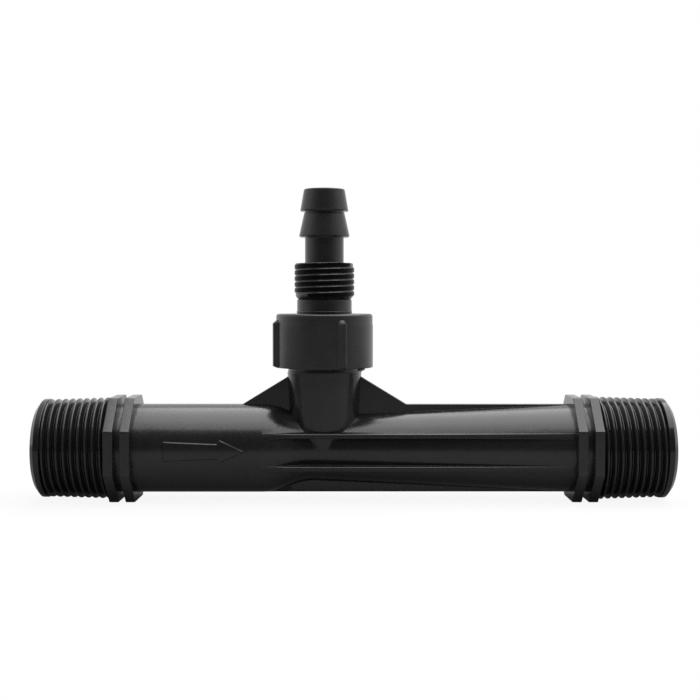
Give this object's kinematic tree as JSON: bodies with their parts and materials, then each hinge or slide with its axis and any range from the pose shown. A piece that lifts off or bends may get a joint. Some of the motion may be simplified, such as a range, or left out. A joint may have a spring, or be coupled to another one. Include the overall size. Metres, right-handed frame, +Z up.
{
  "type": "venturi fertilizer injector",
  "caption": "Moulded venturi injector: threaded inlet and outlet behind octagon collars, ribbed diffuser, and a side suction port with union nut, check ball and barbed hose tail.",
  "frame": {"origin": "on the surface it stands on, under the middle of the pipe: the bottom flats of the collars at Z = 0", "axes": "+X along the pipe with the flow, from inlet to outlet; +Z up along the suction port; the flow arrow is on the -Y side"},
  "size_m": [0.161, 0.0266, 0.0795],
  "materials": {
    "body_plastic": "satin black moulded polypropylene with a fine eroded mould texture",
    "nut_plastic": "satin black moulded polypropylene, smoother than the body",
    "tail_plastic": "satin black moulded polypropylene",
    "gasket_rubber": "moulded rubber, dull",
    "ball_plastic": "ground white acetal",
    "spring_steel": "drawn stainless wire"
  },
  "bodies": {
    "pipe": {"body": "body_plastic", "check_spring": "spring_steel"},
    "tail": {"hose_tail": "tail_plastic", "tail_gasket": "gasket_rubber"},
    "nut": {"union_nut": "nut_plastic"},
    "ball": {"check_ball": "ball_plastic"}
  },
  "joints": [
    {"name": "tail_lift", "type": "slide", "parent": "pipe", "child": "tail", "axis": [0, 0, 1], "range_m": [0, 0.008]},
    {"name": "nut_turn", "type": "hinge", "parent": "tail", "child": "nut", "pos_m": [-0.0075, 0, 0.04167], "axis": [0, 0, 1], "range_deg": [0, 1584]},
    {"name": "ball_open", "type": "slide", "parent": "pipe", "child": "ball", "axis": [0, 0, -1], "range_m": [0, 0.0025], "stiffness_N_per_m": 30, "springref_m": -0.003, "deforming": ["check_spring"]}
  ],
  "couplings": [
    {"joint": "tail_lift", "follows": "nut_turn", "m_per_rad": 0.00028871}
  ]
}
